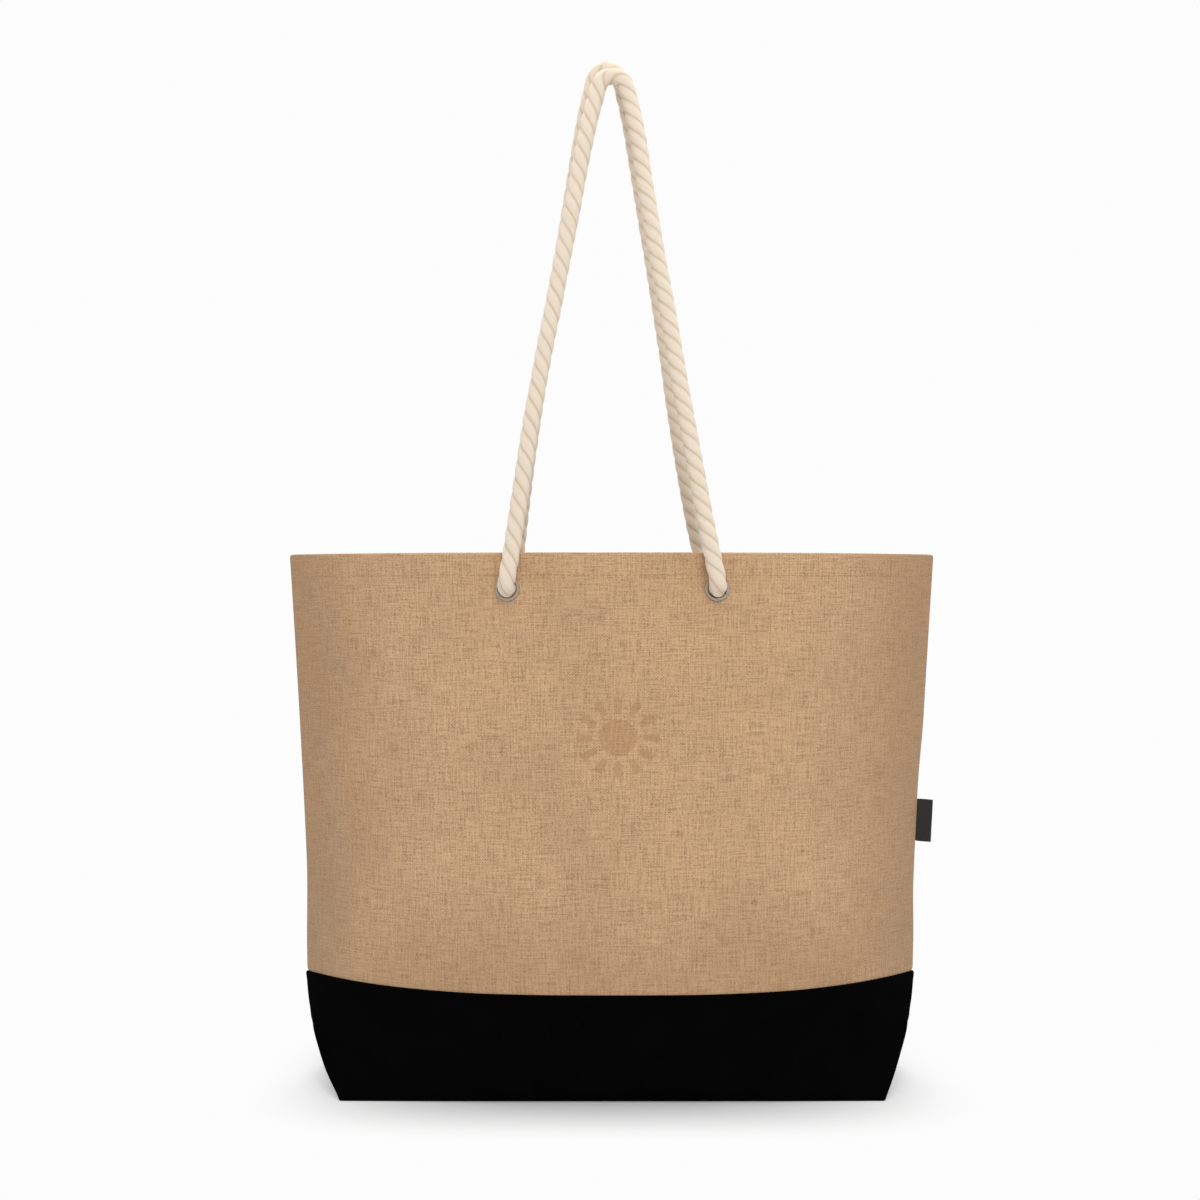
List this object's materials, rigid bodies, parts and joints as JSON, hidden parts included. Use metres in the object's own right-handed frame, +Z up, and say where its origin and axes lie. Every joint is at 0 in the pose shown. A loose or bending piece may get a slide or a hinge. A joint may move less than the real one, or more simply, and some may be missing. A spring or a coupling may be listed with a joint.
{
  "type": "beach bag",
  "caption": "Woven open-top beach tote with a dark boxed base, a stiffened floor, lined inside, and long twisted rope handles knotted through metal eyelets that swing.",
  "frame": {"origin": "middle of the base, on the ground", "axes": "+X across the bag to the viewer's right, +Y from the front towards the back, +Z up"},
  "size_m": [0.5, 0.168, 0.7871],
  "materials": {
    "woven_shell": "plain jute-look weave, matt",
    "base_cloth": "black dense canvas, matt",
    "lining_cloth": "plain light lining cloth",
    "base_board": "plain moulded sheet",
    "nickel": "satin nickel plate",
    "cotton_rope": "three-strand twisted natural cotton",
    "label_tape": "woven satin tape, folded"
  },
  "bodies": {
    "bag": {"front_panel": "woven_shell", "back_panel": "woven_shell", "base_fabric": "base_cloth", "base_board": "base_board", "front_facing": "woven_shell", "back_facing": "woven_shell", "front_lining": "lining_cloth", "back_lining": "lining_cloth", "base_lining": "lining_cloth", "front_left_eyelet": "nickel", "front_right_eyelet": "nickel", "back_left_eyelet": "nickel", "back_right_eyelet": "nickel", "front_left_washer": "nickel", "front_right_washer": "nickel", "back_left_washer": "nickel", "back_right_washer": "nickel", "front_left_rope_neck": "cotton_rope", "front_right_rope_neck": "cotton_rope", "back_left_rope_neck": "cotton_rope", "back_right_rope_neck": "cotton_rope", "front_left_knot": "cotton_rope", "front_right_knot": "cotton_rope", "back_left_knot": "cotton_rope", "back_right_knot": "cotton_rope", "side_label": "label_tape"},
    "front_handle": {"front_rope": "cotton_rope"},
    "back_handle": {"back_rope": "cotton_rope"}
  },
  "joints": [
    {"name": "front_handle_swing", "type": "hinge", "parent": "bag", "child": "front_handle", "pos_m": [0, -0.0726, 0.37586], "axis": [1, 0, 0], "range_deg": [0, 165]},
    {"name": "back_handle_swing", "type": "hinge", "parent": "bag", "child": "back_handle", "pos_m": [0, 0.0726, 0.37586], "axis": [-1, 0, 0], "range_deg": [0, 162]}
  ]
}
